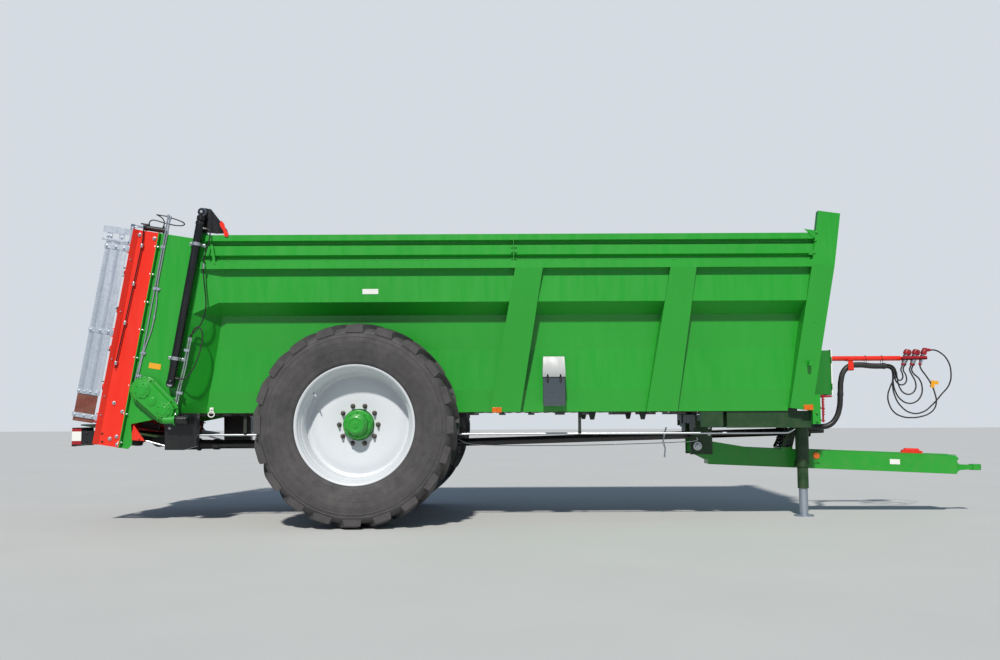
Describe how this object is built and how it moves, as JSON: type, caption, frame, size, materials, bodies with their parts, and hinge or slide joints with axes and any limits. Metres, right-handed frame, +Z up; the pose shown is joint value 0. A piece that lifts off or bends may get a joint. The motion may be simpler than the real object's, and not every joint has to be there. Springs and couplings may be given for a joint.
{
  "type": "manure spreader trailer",
  "caption": "Single-axle farm trailer with a deep hopper, chain floor, lifting rear gate and two upright spreading beaters behind it.",
  "frame": {"origin": "on the ground, under the middle of the whole machine's length and width", "axes": "+X forward to the towing eye, +Y to the left side, +Z up"},
  "size_m": [9.1061, 2.74, 3.0492],
  "materials": {
    "green_paint": "gloss",
    "dark_steel": "satin",
    "galvanised": "satin",
    "orange_red_paint": "gloss",
    "red_paint": "gloss",
    "silver_paint": "gloss",
    "worn_steel": "satin",
    "chrome_rod": "polished",
    "tyre_rubber": "matt",
    "lamp_plastic": "gloss"
  },
  "bodies": {
    "frame": {"side_wall_right": "green_paint", "side_wall_left": "green_paint", "side_posts": "green_paint", "side_boards": "green_paint", "floor_deck": "green_paint", "floor_bearers": "dark_steel", "floor_chains": "worn_steel", "floor_slats": "worn_steel", "apron_shaft": "dark_steel", "apron_gearbox": "green_paint", "apron_motor": "dark_steel", "front_wall": "green_paint", "front_posts": "green_paint", "subframe": "green_paint", "axle_beam": "green_paint", "gate_guides": "green_paint", "gate_barrels": "dark_steel", "unit_sides": "green_paint", "adapter_frames": "orange_red_paint", "top_beam": "orange_red_paint", "beater_tray": "green_paint", "unit_gearbox": "dark_steel", "flap_barrels": "dark_steel", "lamp_boards": "lamp_plastic", "shaft_hangers": "dark_steel", "drawbar": "green_paint", "drawbar_pivot": "green_paint", "drawbar_springs": "dark_steel", "tow_eye": "green_paint", "jack_tube": "green_paint", "steel_pipes": "galvanised", "hose_arm": "orange_red_paint", "coupling_rack": "red_paint", "tool_box": "galvanised", "valve_cabinet": "green_paint", "ladder": "red_paint"},
    "wheel_right": {"tyre_right": "tyre_rubber", "rim_right": "silver_paint", "hub_right": "green_paint"},
    "wheel_left": {"tyre_left": "tyre_rubber", "rim_left": "silver_paint", "hub_left": "green_paint"},
    "gate": {"gate": "green_paint", "gate_arms": "dark_steel", "gate_rods": "chrome_rod"},
    "beater_right": {"beater_right": "orange_red_paint"},
    "beater_left": {"beater_left": "orange_red_paint"},
    "flap_right": {"flap_right": "galvanised"},
    "flap_left": {"flap_left": "galvanised"},
    "flap_rod_right": {"flap_rod_right": "chrome_rod"},
    "flap_rod_left": {"flap_rod_left": "chrome_rod"},
    "jack_leg": {"jack_leg": "galvanised", "jack_slide": "green_paint"},
    "drive_shaft_front": {"drive_shaft_front": "dark_steel"},
    "drive_shaft_rear": {"drive_shaft_rear": "dark_steel"}
  },
  "joints": [
    {"name": "wheel_right_spin", "type": "hinge", "parent": "frame", "child": "wheel_right", "pos_m": [-1.809, -1.075, 0.95], "axis": [0, 1, 0], "continuous": true},
    {"name": "wheel_left_spin", "type": "hinge", "parent": "frame", "child": "wheel_left", "pos_m": [-1.809, 1.075, 0.95], "axis": [0, 1, 0], "continuous": true},
    {"name": "gate_lift", "type": "slide", "parent": "frame", "child": "gate", "axis": [0.1564, 0, 0.9877], "range_m": [0, 1.2]},
    {"name": "beater_right_spin", "type": "hinge", "parent": "frame", "child": "beater_right", "pos_m": [-4.13511, -0.48, 1.1526], "axis": [0.1564, 0, 0.9877], "continuous": true},
    {"name": "beater_left_spin", "type": "hinge", "parent": "frame", "child": "beater_left", "pos_m": [-4.13511, 0.48, 1.1526], "axis": [0.1564, 0, 0.9877], "continuous": true},
    {"name": "flap_right_swing", "type": "hinge", "parent": "frame", "child": "flap_right", "pos_m": [-4.28523, -1.006, 1.17638], "axis": [-0.1564, 0, -0.9877], "range_deg": [0, 50]},
    {"name": "flap_left_swing", "type": "hinge", "parent": "frame", "child": "flap_left", "pos_m": [-4.28523, 1.006, 1.17638], "axis": [0.1564, 0, 0.9877], "range_deg": [0, 50]},
    {"name": "flap_rod_right_slide", "type": "slide", "parent": "frame", "child": "flap_rod_right", "axis": [0.9877, 0, -0.1564], "range_m": [0, 0.07627]},
    {"name": "flap_rod_left_slide", "type": "slide", "parent": "frame", "child": "flap_rod_left", "axis": [0.9877, 0, -0.1564], "range_m": [0, 0.07627]},
    {"name": "jack_leg_lift", "type": "slide", "parent": "frame", "child": "jack_leg", "axis": [0, 0, 1], "range_m": [0, 0.4]},
    {"name": "drive_shaft_front_spin", "type": "hinge", "parent": "frame", "child": "drive_shaft_front", "pos_m": [-1.274, 0, 0.742], "axis": [0.9996, 0, 0.0277], "continuous": true},
    {"name": "drive_shaft_rear_spin", "type": "hinge", "parent": "frame", "child": "drive_shaft_rear", "pos_m": [-1.809, 0, 0.742], "axis": [1, 0, 0], "continuous": true}
  ],
  "couplings": [
    {"joint": "beater_left_spin", "follows": "beater_right_spin", "ratio": -1},
    {"joint": "drive_shaft_rear_spin", "follows": "beater_right_spin", "ratio": 2.6},
    {"joint": "drive_shaft_front_spin", "follows": "beater_right_spin", "ratio": 2.6},
    {"joint": "flap_rod_right_slide", "follows": "flap_right_swing", "m_per_rad": 0.087171},
    {"joint": "flap_rod_left_slide", "follows": "flap_left_swing", "m_per_rad": 0.087171}
  ]
}
